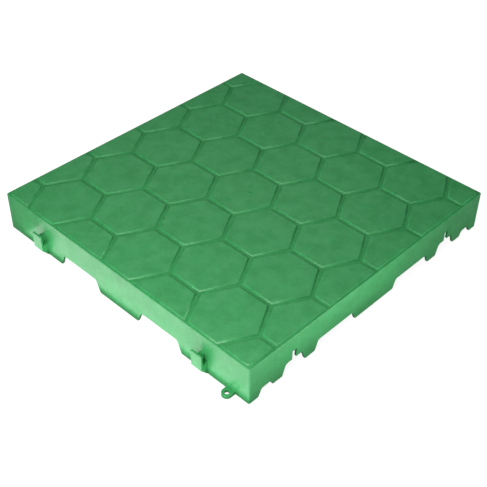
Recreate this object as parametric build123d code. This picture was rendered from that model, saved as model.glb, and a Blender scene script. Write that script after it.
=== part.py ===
from build123d import *
import os

# Plastic garden tile, moulded as one piece. Millimetres, +Z up.
# The origin is the middle of the square at floor level.
# The sides facing -X and +Y carry hooks and eyelets, and the sides facing -Y and +X the slots
# that take a neighbour's hooks.

# Overall form
SIDE = 400.0
HEIGHT = 52.0
CORNER_RADIUS = 2.0
SKIRT_WALL = 3.0
DECK = 3.0

# Raised pads: a honeycomb that runs on from one tile to the next
PAD_COLUMNS = 5
PAD_ROWS = 6
PAD_SHIFT = 2.0
PAD_RISE = 1.6
PAD_LEAN = 35.0
GROOVE_FLOOR = 4.0
PAD_CORNER_RADIUS = 7.0

# Ribs and posts under the deck
RIB_WALL = 2.4
RIB_FLOOR_GAP = 1.0
RIBS_PER_HALF = 6
CELL_RIB_DEPTH = 12.0
POST_DIAMETER = 16.0

# Cable and water channels, cut through the skirt and the deep ribs
CHANNEL_HEIGHT = 16.0
CHANNEL_TOP = 57.0
CHANNEL_FLOOR = 69.0
CHANNEL_CORNER = 4.0
LIP_RADIUS = 2.0

# Hooks
HOOK_WIDTH = 15.5
HOOK_PLATE = 2.5
HOOK_GAP = 6.5
HOOK_TOP = 30.5
HOOK_BOTTOM = 10.0
HOOK_SHELF = 17.0
HOOK_WALL = 2.2
HOOK_WEB = 5.0
HOOK_WEB_TOP = 27.0

# Sockets, the notches and slots that a neighbour's hooks rise into
SOCKET_CLEARANCE = 0.3
SOCKET_TOP = 25.0
SOCKET_FLOOR = 37.0
SOCKET_CORNER = 5.0
SLOT_CLEARANCE = 0.6
SLOT_TOP = 29.0
FOOT_LIFT = 3.0
MIDDLE_FOOT_LIFT = 4.0

# Eyelets for ground pegs, and the notches that pass over them
EYELET_INSET = 25.0
EYELET_RADIUS = 5.9
EYELET_HOLE = 6.0
EYELET_REACH = 6.3
EYELET_THICKNESS = 4.5
PEG_NOTCH_HEIGHT = 10.0
PEG_NOTCH_TOP = 13.0
PEG_NOTCH_FLOOR = 23.0
PEG_NOTCH_CORNER = 4.0

# Places that follow from the sizes above
LEDGE = HEIGHT - PAD_RISE
DECK_UNDERSIDE = LEDGE - DECK
COLUMN_PITCH = SIDE / PAD_COLUMNS
ROW_PITCH = SIDE / PAD_ROWS
CHANNEL_OFFSET = SIDE / 6
HOOK_OFFSET = SIDE / 3
PEG_OFFSET = SIDE / 2 - EYELET_INSET
HOOK_REACH = HOOK_GAP + HOOK_PLATE
SLOT_WIDTH = HOOK_WEB + 2 * SLOT_CLEARANCE
SOCKET_HEIGHT = HOOK_SHELF + SOCKET_CLEARANCE
CUT_PAST = 1.0


def notch(centre, floor_width, top_width, height, corner):
    """Outline of a notch in a wall, open at the floor, narrower and rounded at its top."""
    slope = (floor_width - top_width) / 2 / height
    half_low = floor_width / 2 + slope * CUT_PAST
    half_top = top_width / 2
    outline = Polygon(
        (-half_low, -CUT_PAST),
        (half_low, -CUT_PAST),
        (half_top, height),
        (-half_top, height),
        align=None,
    )
    outline = fillet(outline.vertices().group_by(Axis.Y)[-1], corner)
    return Pos(centre, 0) * outline


def channel(centre):
    """Outline of a cable channel."""
    return notch(centre, CHANNEL_FLOOR, CHANNEL_TOP, CHANNEL_HEIGHT, CHANNEL_CORNER)


def ease_lips(panel):
    """Rounds the lower corners of a wall that stand between its notches."""
    inner = SIDE / 2 - CUT_PAST
    top = MIDDLE_FOOT_LIFT + CUT_PAST
    lips = [v for v in panel.vertices() if v.Y < top and abs(v.X) < inner]
    return fillet(lips, LIP_RADIUS)


def blank_wall():
    """Outline of a side wall from corner to corner and from the floor to the deck."""
    return Pos(0, LEDGE / 2) * Rectangle(SIDE, LEDGE)


def hook_wall():
    """Outline of a wall that carries hooks."""
    outline = blank_wall()
    for side in (-1, 1):
        outline -= channel(side * CHANNEL_OFFSET)
    return ease_lips(outline)


def slot_wall():
    """Outline of a wall that takes a neighbour's hooks and passes over its eyelets."""
    outline = blank_wall()
    outline -= Rectangle(2 * PEG_OFFSET, 2 * FOOT_LIFT)
    outline -= Rectangle(2 * CHANNEL_OFFSET, 2 * MIDDLE_FOOT_LIFT)
    socket = notch(0, SOCKET_FLOOR, SOCKET_TOP, SOCKET_HEIGHT, SOCKET_CORNER)
    peg_notch = notch(0, PEG_NOTCH_FLOOR, PEG_NOTCH_TOP, PEG_NOTCH_HEIGHT, PEG_NOTCH_CORNER)
    for side in (-1, 1):
        outline -= channel(side * CHANNEL_OFFSET)
        outline -= Pos(side * HOOK_OFFSET, 0) * socket
        outline -= Pos(side * PEG_OFFSET, 0) * peg_notch
    outline = ease_lips(outline)
    for side in (-1, 1):
        outline -= Pos(side * HOOK_OFFSET, SLOT_TOP / 2) * Rectangle(SLOT_WIDTH, SLOT_TOP)
    return outline


def stand(outline):
    """Stands an outline up as the wall that faces -Y."""
    return extrude(Plane.XZ.offset(SIDE / 2) * outline, amount=-SKIRT_WALL)


def side_profile(*points):
    """A hook's profile seen along its wall: first the reach out of the wall, then the height."""
    face = Polygon(*points, align=None)
    return Pos(0, -SIDE / 2) * Rot(0, 0, -90) * (Plane.XZ * face)


def hook():
    """A hook on the wall that faces -Y: a plate held off the wall by a shelf and a web."""
    shell = side_profile(
        (-SKIRT_WALL / 2, 0),
        (0, 0),
        (HOOK_REACH, HOOK_BOTTOM),
        (HOOK_REACH, HOOK_TOP),
        (HOOK_GAP, HOOK_TOP),
        (HOOK_GAP, HOOK_SHELF),
        (-SKIRT_WALL / 2, HOOK_SHELF),
    )
    pocket_top = HOOK_SHELF - HOOK_WALL
    pocket = side_profile(
        (0, -CUT_PAST),
        (HOOK_GAP, -CUT_PAST),
        (HOOK_GAP, pocket_top),
        (0, pocket_top),
    )
    web_reach = HOOK_GAP + HOOK_PLATE / 2
    web = side_profile(
        (-SKIRT_WALL / 2, pocket_top),
        (web_reach, pocket_top),
        (web_reach, HOOK_WEB_TOP),
        (-SKIRT_WALL / 2, HOOK_WEB_TOP),
    )
    shape = extrude(shell, amount=HOOK_WIDTH / 2, both=True)
    shape -= extrude(pocket, amount=HOOK_WIDTH / 2 - HOOK_WALL, both=True)
    return shape + extrude(web, amount=HOOK_WEB / 2, both=True)


def eyelet():
    """An eyelet on the wall that faces -Y, flat on the floor, with its hole upright."""
    centre = -SIDE / 2 - EYELET_REACH
    root = -SIDE / 2 + SKIRT_WALL / 2
    outline = Pos(0, centre) * Circle(EYELET_RADIUS)
    outline += Pos(0, (centre + root) / 2) * Rectangle(2 * EYELET_RADIUS, root - centre)
    outline -= Pos(0, centre) * Circle(EYELET_HOLE / 2)
    return extrude(outline, amount=EYELET_THICKNESS)


def hook_side(eyelet_place):
    """The wall that faces -Y as a side with hooks, and the place along it of its one eyelet."""
    side = stand(hook_wall())
    for place in (-HOOK_OFFSET, HOOK_OFFSET):
        side += Pos(place, 0) * hook()
    return side + Pos(eyelet_place, 0) * eyelet()


def slot_side():
    """The wall that faces -Y as a side with slots."""
    return stand(slot_wall())


def rib_grid(places, bottom):
    """Ribs both ways at the given places, from a height above the floor up into the deck."""
    reach = SIDE - SKIRT_WALL
    lines = Sketch() + [Pos(x, 0) * Rectangle(RIB_WALL, reach) for x in places]
    lines += [Pos(0, y) * Rectangle(reach, RIB_WALL) for y in places]
    return Pos(0, 0, bottom) * extrude(lines, amount=DECK_UNDERSIDE + DECK / 2 - bottom)


def ribs():
    """A deep cross that the channels run through, a grid of shallow ribs, and five posts."""
    deep = rib_grid([0], RIB_FLOOR_GAP)
    for side in (-1, 1):
        bar = extrude(Plane.XZ * channel(side * CHANNEL_OFFSET), amount=SIDE / 2, both=True)
        deep -= bar
        deep -= Rot(0, 0, 90) * bar
    pitch = SIDE / 2 / RIBS_PER_HALF
    places = [side * step * pitch for side in (-1, 1) for step in range(1, RIBS_PER_HALF)]
    shallow = rib_grid(places, DECK_UNDERSIDE - CELL_RIB_DEPTH)
    posts = Sketch() + Circle(POST_DIAMETER / 2)
    for x in (-HOOK_OFFSET, HOOK_OFFSET):
        for y in (-HOOK_OFFSET, HOOK_OFFSET):
            posts += Pos(x, y) * Circle(POST_DIAMETER / 2)
    return deep + shallow + extrude(posts, amount=DECK_UNDERSIDE + DECK / 2)


def hexagon():
    """One cell of the honeycomb, with its points along Y."""
    half = COLUMN_PITCH / 2
    third = ROW_PITCH / 3
    return Polygon(
        (0, -2 * third),
        (half, -third),
        (half, third),
        (0, 2 * third),
        (-half, third),
        (-half, -third),
        align=None,
    )


def pads():
    """The raised pads: honeycomb cells cut off by the tile's edge, with leaning sides."""
    reach = SIDE - GROOVE_FLOOR
    field = RectangleRounded(reach, reach, PAD_CORNER_RADIUS)
    base = offset(hexagon(), -GROOVE_FLOOR / 2, kind=Kind.INTERSECTION)
    shapes = []
    for row in range(-PAD_ROWS // 2, PAD_ROWS // 2 + 1):
        shift = row % 2 / 2
        for column in range(-PAD_COLUMNS // 2, PAD_COLUMNS // 2 + 2):
            centre = Pos((column + shift) * COLUMN_PITCH, row * ROW_PITCH + PAD_SHIFT)
            cell = centre * base & field
            for face in cell.faces() if cell else []:
                shapes.append(Pos(0, 0, LEDGE) * extrude(face, amount=PAD_RISE, taper=PAD_LEAN))
    return shapes


def garden_tile():
    """The whole moulding."""
    plan = RectangleRounded(SIDE, SIDE, CORNER_RADIUS)
    skirt = slot_side() + Rot(0, 0, 90) * slot_side()
    skirt += Rot(0, 0, 180) * hook_side(-PEG_OFFSET)
    skirt += Rot(0, 0, -90) * hook_side(PEG_OFFSET)
    sharp_corners = extrude(Rectangle(SIDE, SIDE) - plan, amount=LEDGE)
    deck = Pos(0, 0, DECK_UNDERSIDE) * extrude(plan, amount=DECK)
    tile = (skirt - sharp_corners) + deck + ribs()
    for pad in pads():
        tile += pad
    return tile


os.makedirs("parts", exist_ok=True)
export_step(garden_tile(), "parts/garden_tile.step")
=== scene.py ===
import math

import bmesh
import bpy
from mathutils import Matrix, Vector


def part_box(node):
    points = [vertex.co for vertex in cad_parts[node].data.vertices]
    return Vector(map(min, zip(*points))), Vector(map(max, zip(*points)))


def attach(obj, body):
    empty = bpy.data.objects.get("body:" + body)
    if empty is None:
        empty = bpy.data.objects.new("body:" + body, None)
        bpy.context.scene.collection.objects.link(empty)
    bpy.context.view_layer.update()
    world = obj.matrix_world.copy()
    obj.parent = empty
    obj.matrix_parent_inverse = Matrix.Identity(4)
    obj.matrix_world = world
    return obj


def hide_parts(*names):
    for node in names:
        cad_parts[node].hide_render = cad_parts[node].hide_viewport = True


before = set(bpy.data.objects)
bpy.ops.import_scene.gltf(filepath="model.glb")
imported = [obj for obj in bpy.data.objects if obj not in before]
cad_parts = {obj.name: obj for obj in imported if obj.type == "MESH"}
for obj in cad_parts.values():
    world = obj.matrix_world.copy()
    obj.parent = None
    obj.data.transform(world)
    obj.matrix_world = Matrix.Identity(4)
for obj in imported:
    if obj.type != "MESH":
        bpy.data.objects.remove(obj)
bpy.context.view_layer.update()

bl_info = {
    "name": "Plastic Garden Tile",
    "version": (1, 0, 0),
    "blender": (4, 5, 0),
    "location": "3D View > Sidebar > Garden Tile",
    "description": "Finishes a moulded plastic garden tile and sets up its studio",
    "category": "Object",
}

NODE = "garden_tile"
BODY = "root"
SLOT = "tile_plastic"
PIECE = "tile_body"
# Layer that marks the rounded edges which the pale colour lights up with a painted highlight
EDGE_HIGHLIGHT = "rubbed"
MM = 0.001

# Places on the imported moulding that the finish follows
PAD_RISE = 1.6 * MM
DECK = 3.0 * MM
PAD_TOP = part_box(NODE)[1][2]
LEDGE = PAD_TOP - PAD_RISE
DECK_UNDERSIDE = LEDGE - DECK
HALF_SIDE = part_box(NODE)[1][0]

# How near to a height an edge's end counts as at it
NEAR = 0.05 * MM
# How far in from the tile's side the feet's edges begin, and how far in the rim's and the skirt's reach
FEET_INSET = 1.0 * MM
RIM_INSET = 0.7 * MM
SKIRT_INSET = 3.2 * MM
# How far below the ledge the skirt's edges begin
SKIRT_DROP = 2.0 * MM

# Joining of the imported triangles: gaps and slivers that close, and the turn in degrees that is flat
WELD_GAP = 0.005 * MM
SLIVER = 0.002 * MM
FLAT_TURN = 0.4
# Shading of the finished body: the turn in degrees that stays sharp, and the pull of the large faces
SHARP_TURN = 40.0
FACE_PULL = 90

# Marks of the mould: how deep they sit in the plastic, an ejector mark's corners, and the gate's mark
MARK_SUNK = 0.4 * MM
PIN_CORNERS = 24
GATE_PLACE = (3.0 * MM, -5.0 * MM, 0.0)
GATE_FLOOR = 0.02 * MM
GATE_STEPS = 40
GATE_WELD = 0.001 * MM

# Pigment: each kind of cloud's number to the metre, its detail and its share
PIGMENT_CLOUDS = ((38.0, 3.0, 0.38), (100.0, 3.0, 0.32), (280.0, 2.0, 0.30))
PIGMENT_SPAN = (0.40, 0.60)
# Pale edges, a painted highlight: its patches to the metre, the span of noise that they take, and the
# least share of it
HIGHLIGHT_PATCHES = 60.0
HIGHLIGHT_SPAN = (0.35, 0.65)
HIGHLIGHT_LEAST = 0.35
# Shade of the grooves: how far it stops short of the ledge and the pads' tops, and its fade below
SHADE_INSET = 0.3 * MM
SHADE_FADE = (0.7 * MM, 0.1 * MM)
SHADE_DARKNESS = 0.25
# Surface: blotches to the metre, their span of noise and their swing; grain and ripple to the metre
GLOSS_BLOTCHES = 45.0
GLOSS_SPAN = (0.3, 0.7)
GLOSS_SWING = 0.06
GRAIN_CLOUDS = 900.0
GRAIN_SHARE = 0.5
RIPPLE_CLOUDS = 130.0
FINE_DETAIL = 2.0
PLASTIC_IOR = 1.49

# Floor, in metres: it lies a hair below the tile, so that the two never share a plane
FLOOR_REACH = 6.0
FLOOR_DROP = 0.2 * MM
# Camera: how far it sees in metres, and its sensor's width in millimetres
CAMERA_SIGHT = 50.0
SENSOR_WIDTH = 36.0
WHITE = (1.0, 1.0, 1.0, 1.0)
CENTRE = (0.0, 0.0, 0.0)
# Each lamp's name, its place, the point it faces, its width and height, and its power's setting
LAMPS = (
    ("key_softbox", (-0.60, -0.25, 0.43), CENTRE, (0.4, 0.4), "key_power"),
    ("floor_panel", (-0.08, -0.30, 0.004), (-0.08, -0.30, 1.0), (0.24, 0.08), "floor_power"),
    ("low_panel", (0.05, -0.60, 0.025), (0.05, 0.0, 0.025), (0.5, 0.05), "low_power"),
    ("overhead_softbox", (0.0, 0.0, 1.2), CENTRE, (0.8, 0.8), "top_power"),
    ("back_softbox", (0.7, 0.8, 1.0), CENTRE, (0.9, 0.6), "back_power"),
    ("left_softbox", (-1.5, 0.75, 0.42), CENTRE, (0.9, 0.7), "left_power"),
    ("bounce_panel", (-0.231, -0.036, 0.004), (-0.231, -0.036, 1.0), (0.054, 0.42), "bounce_power"),
)


def length(name, description, default):
    """A length that the sidebar shows."""
    return bpy.props.FloatProperty(
        name=name, description=description, default=default,
        min=0.0, subtype="DISTANCE", unit="LENGTH", precision=4,
    )


def brightness(name, description, default):
    """A lamp's power, or the room's strength, that the sidebar shows."""
    return bpy.props.FloatProperty(name=name, description=description, default=default, min=0.0)


def share(name, description, default):
    """A share from 0 to 1 that the sidebar shows."""
    return bpy.props.FloatProperty(
        name=name, description=description, default=default,
        min=0.0, max=1.0, subtype="FACTOR",
    )


def colour(name, description, default):
    """A colour that the sidebar shows."""
    return bpy.props.FloatVectorProperty(
        name=name, description=description, default=default,
        size=3, min=0.0, max=1.0, subtype="COLOR",
    )


class MouldingSettings(bpy.types.PropertyGroup):
    """Roundings of the moulding's edges."""

    pad_edge: length("Pad edge", "Rounding of the pads' upper edges", 0.8 * MM)
    pad_foot: length("Pad foot", "Hollow rounding where the pads meet the ledge", 0.45 * MM)
    rim_edge: length("Rim edge", "Rounding of the outer edge round the pads", 0.9 * MM)
    skirt_edge: length("Skirt edge", "Rounding of the skirt's, hooks' and eyelets' edges", 0.35 * MM)


class MarkSettings(bpy.types.PropertyGroup):
    """Marks that the mould leaves on the moulding."""

    gate_width: length("Gate mark", "Width of the gate's mark on the middle pad", 6.0 * MM)
    gate_height: length("Gate height", "How far the gate's mark stands up", 0.3 * MM)
    pin_width: length("Ejector pin", "Width of the ejector pins' marks under the deck", 7.0 * MM)
    pin_height: length("Ejector mark", "How far the ejector pins' marks stand proud", 0.3 * MM)
    pin_pitch: length("Ejector pitch", "Distance from one ejector pin to the next", 400.0 / 6.0 * MM)
    pin_count: bpy.props.IntProperty(
        name="Ejector count", description="Ejector pins along each side", default=6, min=1,
    )


class PlasticSettings(bpy.types.PropertyGroup):
    """Colour and surface of the moulded plastic."""

    deep: colour("Colour", "Colour of the plastic", (0.036, 0.325, 0.090))
    pale: colour("Pale colour", "Colour where the pigment is thinner", (0.046, 0.385, 0.112))
    # The rubbed colour is a painted highlight: it makes the rounded edges paler, and the share below sets
    # how much
    rubbed: colour("Rubbed colour", "Colour of the edges that feet have rubbed", (0.13, 0.52, 0.22))
    wear: share("Edge wear", "How much of the rubbed colour the edges show", 0.3)
    groove_shade: share("Groove shade", "How much darker the floors of the grooves are", 0.06)
    roughness: share("Roughness", "How matt the moulded surface is", 0.33)
    grain: length("Grain depth", "Depth of the grain that the mould's eroded surface leaves", 0.06 * MM)


class StageSettings(bpy.types.PropertyGroup):
    """Floor, lamps and camera."""

    camera_place: bpy.props.FloatVectorProperty(
        name="Camera place", description="Where the camera stands", size=3,
        default=(-0.657304, -0.626047, 0.736797), subtype="TRANSLATION", unit="LENGTH",
    )
    camera_turn: bpy.props.FloatVectorProperty(
        name="Camera turn", description="How the camera is turned about X, Y and Z", size=3,
        default=(math.radians(49.8827), math.radians(-0.574), math.radians(-45.8447)),
        subtype="EULER", unit="ROTATION",
    )
    lens: bpy.props.FloatProperty(
        name="Lens", description="Focal length of the camera's lens in millimetres",
        default=70.603, min=1.0,
    )
    key_power: brightness("Key lamp", "Watts of the softbox above and left of the nearest corner", 3.05)
    floor_power: brightness("Floor panel", "Watts of the panel on the floor before the right side", 0.28)
    low_power: brightness("Low panel", "Watts of the low upright panel before the right side", 0.85)
    top_power: brightness("Overhead lamp", "Watts of the softbox overhead", 3.9)
    back_power: brightness("Back lamp", "Watts of the softbox behind the tile", 0.55)
    left_power: brightness("Left lamp", "Watts of the far softbox at the left", 7.4)
    bounce_power: brightness("Bounce panel", "Watts of the panel on the floor by the left side", 0.118)
    room_light: brightness("Room light", "Strength of the plain light from all round", 0.08)
    floor_grey: share("Floor", "How pale the floor is", 0.35)
    floor_lift: share("Floor lift", "How far the seen floor is brought up towards white", 0.92)
    mirror_lift: share("Mirrored lift", "How far the mirrored floor is brought up towards white", 0.05)


class Tree:
    """A node tree that takes a node, its values and its links in one call."""

    # The colour mix's sockets for its factor, A and B, and for its result
    MIX_INPUTS = (0, 6, 7)
    MIX_RESULT = 2

    def __init__(self, tree):
        self.tree = tree

    def add(self, kind, values=None, **facts):
        """Adds a node. The facts are its own settings; each value is a number, a colour or an output."""
        node = self.tree.nodes.new(kind)
        for name, fact in facts.items():
            setattr(node, name, fact)
        for socket, value in (values or {}).items():
            if isinstance(value, bpy.types.NodeSocket):
                self.tree.links.new(value, node.inputs[socket])
            else:
                node.inputs[socket].default_value = value
        return node

    def mix(self, factor, *colours):
        """A colour between two others, each of them an output or three numbers."""
        whole = [part if isinstance(part, bpy.types.NodeSocket) else (*part, 1.0) for part in colours]
        values = dict(zip(self.MIX_INPUTS, (factor, *whole)))
        return self.add("ShaderNodeMix", values, data_type="RGBA").outputs[self.MIX_RESULT]

    def maths(self, operation, *values):
        """The result of one sum on numbers or outputs."""
        return self.add("ShaderNodeMath", dict(enumerate(values)), operation=operation).outputs[0]

    def span(self, value, low, high, to_low=0.0, to_high=1.0):
        """A value carried smoothly from one span to another."""
        values = {"Value": value, "From Min": low, "From Max": high, "To Min": to_low, "To Max": to_high}
        return self.add("ShaderNodeMapRange", values, interpolation_type="SMOOTHSTEP").outputs["Result"]

    def noise(self, place, scale, detail=3.0):
        """Cloudy noise of so many clouds to the metre."""
        values = {"Vector": place, "Scale": scale, "Detail": detail, "Roughness": 0.55}
        return self.add("ShaderNodeTexNoise", values).outputs["Fac"]

    def white(self, seen, mirrored):
        """Strength of plain white: so much to the camera, and so much in a mirrored or clear surface."""
        paths = self.add("ShaderNodeLightPath").outputs
        in_mirrors = self.maths("MAXIMUM", paths["Is Glossy Ray"], paths["Is Transmission Ray"])
        return self.maths(
            "MAXIMUM", self.maths("MULTIPLY", paths["Is Camera Ray"], seen),
            self.maths("MULTIPLY", in_mirrors, mirrored),
        )


def empty_tree(holder):
    """The tree of a material or a world, with nothing in it."""
    holder.use_nodes = True
    holder.node_tree.nodes.clear()
    return Tree(holder.node_tree)


def put(name, data):
    """An object that carries this data, linked to the scene."""
    made = bpy.data.objects.new(name, data)
    bpy.context.scene.collection.objects.link(made)
    return made


def plastic_material(settings):
    """Green moulded plastic: cloudy pigment, a painted highlight on the edges, shaded grooves and an
    eroded grain.
    """
    material = bpy.data.materials.new(SLOT)
    tree = empty_tree(material)
    place = tree.add("ShaderNodeTexCoord").outputs["Object"]
    height = tree.add("ShaderNodeSeparateXYZ", {0: place}).outputs["Z"]

    # Pigment: clouds in clouds
    clouds = 0.0
    for scale, detail, part in PIGMENT_CLOUDS:
        clouds = tree.maths("MULTIPLY_ADD", tree.noise(place, scale, detail), part, clouds)
    pigment = tree.mix(tree.span(clouds, *PIGMENT_SPAN), settings.deep, settings.pale)

    # Painted highlight: the rounded edges made paler, in patches
    rubbed = tree.add("ShaderNodeAttribute", attribute_name=EDGE_HIGHLIGHT).outputs["Fac"]
    patches = tree.span(tree.noise(place, HIGHLIGHT_PATCHES), *HIGHLIGHT_SPAN, HIGHLIGHT_LEAST, 1.0)
    highlit = tree.maths("MULTIPLY", tree.maths("MULTIPLY", rubbed, patches), settings.wear)
    pigment = tree.mix(highlit, pigment, settings.rubbed)

    # Shade: the floors of the grooves, fading out towards the pads' tops and below the ledge
    low = tree.span(height, LEDGE + SHADE_INSET, PAD_TOP - SHADE_INSET, 1.0, 0.0)
    above = tree.span(height, LEDGE - SHADE_FADE[0], LEDGE - SHADE_FADE[1])
    shade = tree.maths("MULTIPLY", tree.maths("MULTIPLY", low, above), settings.groove_shade)
    pigment = tree.mix(shade, pigment, [part * SHADE_DARKNESS for part in settings.deep])

    # Surface: roughness in blotches, and a fine grain on a ripple
    gloss = tree.span(
        tree.noise(place, GLOSS_BLOTCHES), *GLOSS_SPAN,
        settings.roughness - GLOSS_SWING, settings.roughness + GLOSS_SWING,
    )
    ripple = tree.noise(place, RIPPLE_CLOUDS, FINE_DETAIL)
    grain = tree.noise(place, GRAIN_CLOUDS, FINE_DETAIL)
    relief = tree.maths("MULTIPLY_ADD", grain, GRAIN_SHARE, ripple)
    bump = tree.add("ShaderNodeBump", {"Strength": 1.0, "Distance": settings.grain, "Height": relief})
    shader = tree.add("ShaderNodeBsdfPrincipled", {
        "Base Color": pigment, "Roughness": gloss, "Normal": bump.outputs[0], "IOR": PLASTIC_IOR,
    })
    tree.add("ShaderNodeOutputMaterial", {"Surface": shader.outputs[0]})
    return material


def inner_reach(edge):
    """How far from the tile's middle an edge's inner end lies, along X or Y."""
    return min(max(abs(end.co.x), abs(end.co.y)) for end in edge.verts)


def between(edge, low, high):
    """Whether both of an edge's ends lie between two heights."""
    return all(low - NEAR < end.co.z < high + NEAR for end in edge.verts)


def on_pads(edge):
    """Whether an edge lies at the pads' tops."""
    return between(edge, PAD_TOP, PAD_TOP)


def at_feet(edge):
    """Whether an edge lies at the pads' feet, in from the rim."""
    return between(edge, LEDGE, LEDGE) and inner_reach(edge) < HALF_SIDE - FEET_INSET


def on_rim(edge):
    """Whether an edge lies on the rim round the pads."""
    return between(edge, LEDGE, LEDGE) and inner_reach(edge) > HALF_SIDE - RIM_INSET


def on_skirt(edge):
    """Whether an edge lies on the skirt, a hook or an eyelet, below the rim."""
    return between(edge, 0.0, LEDGE - SKIRT_DROP) and inner_reach(edge) > HALF_SIDE - SKIRT_INSET


# Each rounding's setting, its edges, the least turn in degrees that it takes, its segments and its share
# of painted highlight
ROUNDINGS = (
    ("pad_edge", on_pads, 20.0, 4, 1.0),
    ("pad_foot", at_feet, 20.0, 2, 0.0),
    ("rim_edge", on_rim, 20.0, 3, 0.8),
    ("skirt_edge", on_skirt, 28.0, 2, 0.5),
)


def sharp_edges(mesh, test, least):
    """The edges that turn by more than the least angle, in degrees, and pass the test."""
    turned = [
        edge for edge in mesh.edges
        if len(edge.link_faces) == 2 and abs(edge.calc_face_angle_signed(0.0)) > math.radians(least)
    ]
    return [edge for edge in turned if test(edge)]


def round_edges(mesh, edges, width, segments, wear):
    """Rounds some edges, and marks the roundings that get a painted highlight."""
    made = bmesh.ops.bevel(
        mesh, geom=edges, offset=width, offset_type="OFFSET", segments=segments,
        profile=0.5, affect="EDGES", clamp_overlap=False, loop_slide=False,
    )
    if wear:
        rubbed = mesh.verts.layers.float[EDGE_HIGHLIGHT]
        for vert in made["verts"]:
            vert[rubbed] = wear


def whole_copy(source):
    """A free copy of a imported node, with its loose triangles joined and its flat faces whole."""
    mesh = bmesh.new()
    mesh.from_mesh(source.data)
    mesh.verts.layers.float.new(EDGE_HIGHLIGHT)
    bmesh.ops.remove_doubles(mesh, verts=mesh.verts, dist=WELD_GAP)
    bmesh.ops.dissolve_degenerate(mesh, edges=mesh.edges, dist=SLIVER)
    bmesh.ops.dissolve_limit(
        mesh, angle_limit=math.radians(FLAT_TURN), verts=mesh.verts, edges=mesh.edges,
        use_dissolve_boundaries=False,
    )
    return mesh


def plain_result(maker, name):
    """A plain mesh of what an object's modifiers make of it. The object itself goes."""
    graph = bpy.context.evaluated_depsgraph_get()
    mesh = bpy.data.meshes.new_from_object(maker.evaluated_get(graph), depsgraph=graph)
    mesh.name = name
    old = maker.data
    bpy.data.objects.remove(maker)
    bpy.data.meshes.remove(old)
    return mesh


class TILE_OT_body(bpy.types.Operator):
    """Makes the tile's body with rounded edges in moulded plastic"""

    bl_idname = "garden_tile.body"
    bl_label = "Make Tile Body"

    def execute(self, context):
        work = whole_copy(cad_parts[NODE])
        for setting, test, least, segments, wear in ROUNDINGS:
            edges = sharp_edges(work, test, least)
            if not edges:
                raise RuntimeError(f"the packed tile has no edges for the rounding {setting}")
            round_edges(work, edges, getattr(context.scene.tile_moulding, setting), segments, wear)
        bmesh.ops.triangulate(work, faces=[face for face in work.faces if len(face.verts) > 4])
        mesh = bpy.data.meshes.new(PIECE)
        work.to_mesh(mesh)
        work.free()
        mesh.shade_smooth()
        mesh.set_sharp_from_angle(angle=math.radians(SHARP_TURN))
        maker = put("body_maker", mesh)
        weighted = maker.modifiers.new("Even Faces", "WEIGHTED_NORMAL")
        weighted.keep_sharp = True
        weighted.weight = FACE_PULL
        body = put(PIECE, plain_result(maker, PIECE))
        body.data.materials.clear()
        body.data.materials.append(plastic_material(context.scene.tile_plastic))
        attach(body, BODY)
        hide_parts(NODE)
        return {"FINISHED"}


def socket_names(tree):
    """Each named input of a node group, with the identifier that a modifier knows it by."""
    return {item.name: item.identifier for item in tree.interface.items_tree if item.in_out == "INPUT"}


def pin_marks_tree(material):
    """Geometry Nodes: a round, slightly proud mark on every place of a square grid."""
    group = bpy.data.node_groups.new("pin_marks", "GeometryNodeTree")
    for name, kind in (("Pitch", "NodeSocketFloat"), ("Count", "NodeSocketInt"),
                       ("Width", "NodeSocketFloat"), ("Depth", "NodeSocketFloat"),
                       ("Level", "NodeSocketFloat")):
        group.interface.new_socket(name=name, in_out="INPUT", socket_type=kind)
    group.interface.new_socket(name="Geometry", in_out="OUTPUT", socket_type="NodeSocketGeometry")
    tree = Tree(group)
    given = tree.add("NodeGroupInput").outputs
    reach = tree.maths("MULTIPLY", given["Pitch"], tree.maths("SUBTRACT", given["Count"], 1.0))
    radius = tree.maths("MULTIPLY", given["Width"], 0.5)
    grid = tree.add("GeometryNodeMeshGrid", {
        "Size X": reach, "Size Y": reach, "Vertices X": given["Count"], "Vertices Y": given["Count"]})
    disc = tree.add("GeometryNodeMeshCylinder", {
        "Vertices": PIN_CORNERS, "Radius": radius, "Depth": given["Depth"]})
    marks = tree.add("GeometryNodeInstanceOnPoints", {
        "Points": grid.outputs["Mesh"], "Instance": disc.outputs["Mesh"]})
    lift = tree.add("ShaderNodeCombineXYZ", {"Z": given["Level"]})
    placed = tree.add("GeometryNodeTransform", {
        "Geometry": marks.outputs["Instances"], "Translation": lift.outputs["Vector"]})
    real = tree.add("GeometryNodeRealizeInstances", {"Geometry": placed.outputs["Geometry"]})
    finish = tree.add("GeometryNodeSetMaterial", {
        "Geometry": real.outputs["Geometry"], "Material": material})
    output = tree.add("NodeGroupOutput", {"Geometry": finish.outputs["Geometry"]})
    output.is_active_output = True
    return group


def add_plain(target, extra):
    """Adds one mesh's faces to another's, and takes the one that gave them away."""
    work = bmesh.new()
    work.from_mesh(target)
    work.from_mesh(extra)
    work.to_mesh(target)
    work.free()
    bpy.data.meshes.remove(extra)


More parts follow.
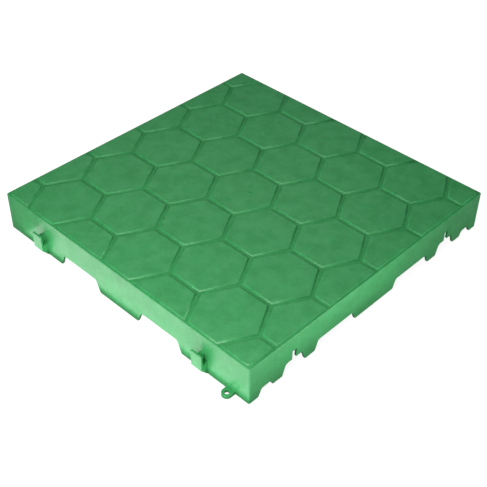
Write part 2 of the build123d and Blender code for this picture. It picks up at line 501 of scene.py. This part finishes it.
class TILE_OT_marks(bpy.types.Operator):
    """Adds the gate's mark on the middle pad and the ejector pins' marks under the deck"""

    bl_idname = "garden_tile.marks"
    bl_label = "Add Mould Marks"

    def execute(self, context):
        sizes = context.scene.tile_marks
        body = bpy.data.objects.get(PIECE)
        if body is None:
            raise RuntimeError("the tile's body has to be made before its marks")
        maker = put("marks_maker", bpy.data.meshes.new("marks_maker"))
        group = pin_marks_tree(body.data.materials[0])
        names = socket_names(group)
        nodes = maker.modifiers.new("Marks", "NODES")
        nodes.node_group = group
        nodes[names["Pitch"]] = sizes.pin_pitch
        nodes[names["Count"]] = sizes.pin_count
        nodes[names["Width"]] = sizes.pin_width
        nodes[names["Depth"]] = sizes.pin_height + MARK_SUNK
        nodes[names["Level"]] = DECK_UNDERSIDE + (MARK_SUNK - sizes.pin_height) / 2
        add_plain(body.data, plain_result(maker, "pin_marks"))
        add_plain(body.data, self.gate_mark(sizes))
        return {"FINISHED"}

    def gate_mark(self, sizes):
        """A low ring with a nub in it, turned from one profile."""
        half = sizes.gate_width / 2
        rise = sizes.gate_height
        # Shares of the mark's half width, and heights above the pad's top
        profile = (
            (0.0, rise), (0.22, rise), (0.34, 0.3 * rise), (0.42, GATE_FLOOR), (0.72, GATE_FLOOR),
            (0.82, 0.55 * rise), (0.92, 0.5 * rise), (1.0, -MARK_SUNK), (0.0, -MARK_SUNK),
        )
        work = bmesh.new()
        verts = [work.verts.new((across * half, 0.0, PAD_TOP + above)) for across, above in profile]
        edges = [work.edges.new(pair) for pair in zip(verts, verts[1:])]
        bmesh.ops.spin(
            work, geom=verts + edges, cent=CENTRE, axis=(0, 0, 1), angle=math.tau, steps=GATE_STEPS)
        bmesh.ops.remove_doubles(work, verts=work.verts, dist=GATE_WELD)
        bmesh.ops.recalc_face_normals(work, faces=work.faces)
        bmesh.ops.translate(work, verts=work.verts, vec=GATE_PLACE)
        for face in work.faces:
            face.smooth = True
        mesh = bpy.data.meshes.new("gate_mark")
        work.to_mesh(mesh)
        work.free()
        return mesh


class TILE_OT_stage(bpy.types.Operator):
    """Sets up the floor, the lamps and the camera"""

    bl_idname = "garden_tile.stage"
    bl_label = "Set Up Stage"

    def execute(self, context):
        scene = context.scene
        sizes = scene.tile_stage
        self.floor(sizes)
        self.room(scene, sizes)
        for name, place, aim, size, setting in LAMPS:
            self.lamp(name, place, aim, size, getattr(sizes, setting))
        self.camera(scene, sizes)
        scene.view_settings.view_transform = "Standard"
        return {"FINISHED"}

    def floor(self, sizes):
        """A wide square of white paper, less white where the tile shades it."""
        corners = ((-1, -1), (1, -1), (1, 1), (-1, 1))
        mesh = bpy.data.meshes.new("floor")
        mesh.from_pydata([(x * FLOOR_REACH, y * FLOOR_REACH, 0.0) for x, y in corners], [], [(0, 1, 2, 3)])
        floor = put("floor", mesh)
        floor.location.z = -FLOOR_DROP
        material = bpy.data.materials.new("floor_paper")
        tree = empty_tree(material)
        paper = tree.add("ShaderNodeBsdfDiffuse", {"Color": (sizes.floor_grey,) * 3 + (1.0,)})
        lift = tree.white(sizes.floor_lift, sizes.mirror_lift)
        glow = tree.add("ShaderNodeEmission", {"Color": WHITE, "Strength": lift})
        both = tree.add("ShaderNodeAddShader", {0: paper.outputs[0], 1: glow.outputs[0]})
        tree.add("ShaderNodeOutputMaterial", {"Surface": both.outputs[0]})
        floor.data.materials.append(material)

    def room(self, scene, sizes):
        """Plain light from all round, and white behind the floor."""
        world = bpy.data.worlds.new("room")
        tree = empty_tree(world)
        strength = tree.maths("MAXIMUM", tree.white(1.0, sizes.mirror_lift), sizes.room_light)
        light = tree.add("ShaderNodeBackground", {"Color": WHITE, "Strength": strength})
        tree.add("ShaderNodeOutputWorld", {"Surface": light.outputs[0]})
        scene.world = world

    def lamp(self, name, place, aim, size, watts):
        """A softbox of a width and a height, turned towards a point and itself unseen."""
        light = bpy.data.lights.new(name, "AREA")
        light.shape = "RECTANGLE"
        light.size, light.size_y = size
        light.energy = watts
        lamp = put(name, light)
        lamp.location = place
        lamp.rotation_euler = (Vector(aim) - lamp.location).to_track_quat("-Z", "Y").to_euler()
        lamp.visible_camera = False

    def camera(self, scene, sizes):
        """The camera that stands where the photograph was taken."""
        camera = put("camera", bpy.data.cameras.new("camera"))
        camera.location = sizes.camera_place
        camera.rotation_euler = sizes.camera_turn
        camera.data.lens = sizes.lens
        camera.data.sensor_width = SENSOR_WIDTH
        camera.data.clip_end = CAMERA_SIGHT
        scene.camera = camera


class TILE_PT_panel(bpy.types.Panel):
    """Lists the tile's operators and their settings"""

    bl_idname = "TILE_PT_panel"
    bl_label = "Garden Tile"
    bl_space_type = "VIEW_3D"
    bl_region_type = "UI"
    bl_category = "Garden Tile"

    def draw(self, context):
        for group, operator in (
            ("tile_plastic", None),
            ("tile_moulding", "garden_tile.body"),
            ("tile_marks", "garden_tile.marks"),
            ("tile_stage", "garden_tile.stage"),
        ):
            box = self.layout.box()
            settings = getattr(context.scene, group)
            for name in settings.bl_rna.properties.keys():
                if name not in ("rna_type", "name"):
                    box.prop(settings, name)
            if operator:
                box.operator(operator)


CLASSES = (
    MouldingSettings,
    MarkSettings,
    PlasticSettings,
    StageSettings,
    TILE_OT_body,
    TILE_OT_marks,
    TILE_OT_stage,
    TILE_PT_panel,
)
GROUPS = {
    "tile_moulding": MouldingSettings,
    "tile_marks": MarkSettings,
    "tile_plastic": PlasticSettings,
    "tile_stage": StageSettings,
}


def register():
    """Registers the classes and hangs the settings on the scene."""
    for item in CLASSES:
        bpy.utils.register_class(item)
    for name, group in GROUPS.items():
        setattr(bpy.types.Scene, name, bpy.props.PointerProperty(type=group))


def unregister():
    """Takes the settings and the classes away again."""
    for name in GROUPS:
        delattr(bpy.types.Scene, name)
    for item in reversed(CLASSES):
        bpy.utils.unregister_class(item)


def main():
    """Makes the tile and its stage."""
    register()
    bpy.ops.garden_tile.body()
    bpy.ops.garden_tile.marks()
    bpy.ops.garden_tile.stage()


if __name__ == "__main__":
    main()
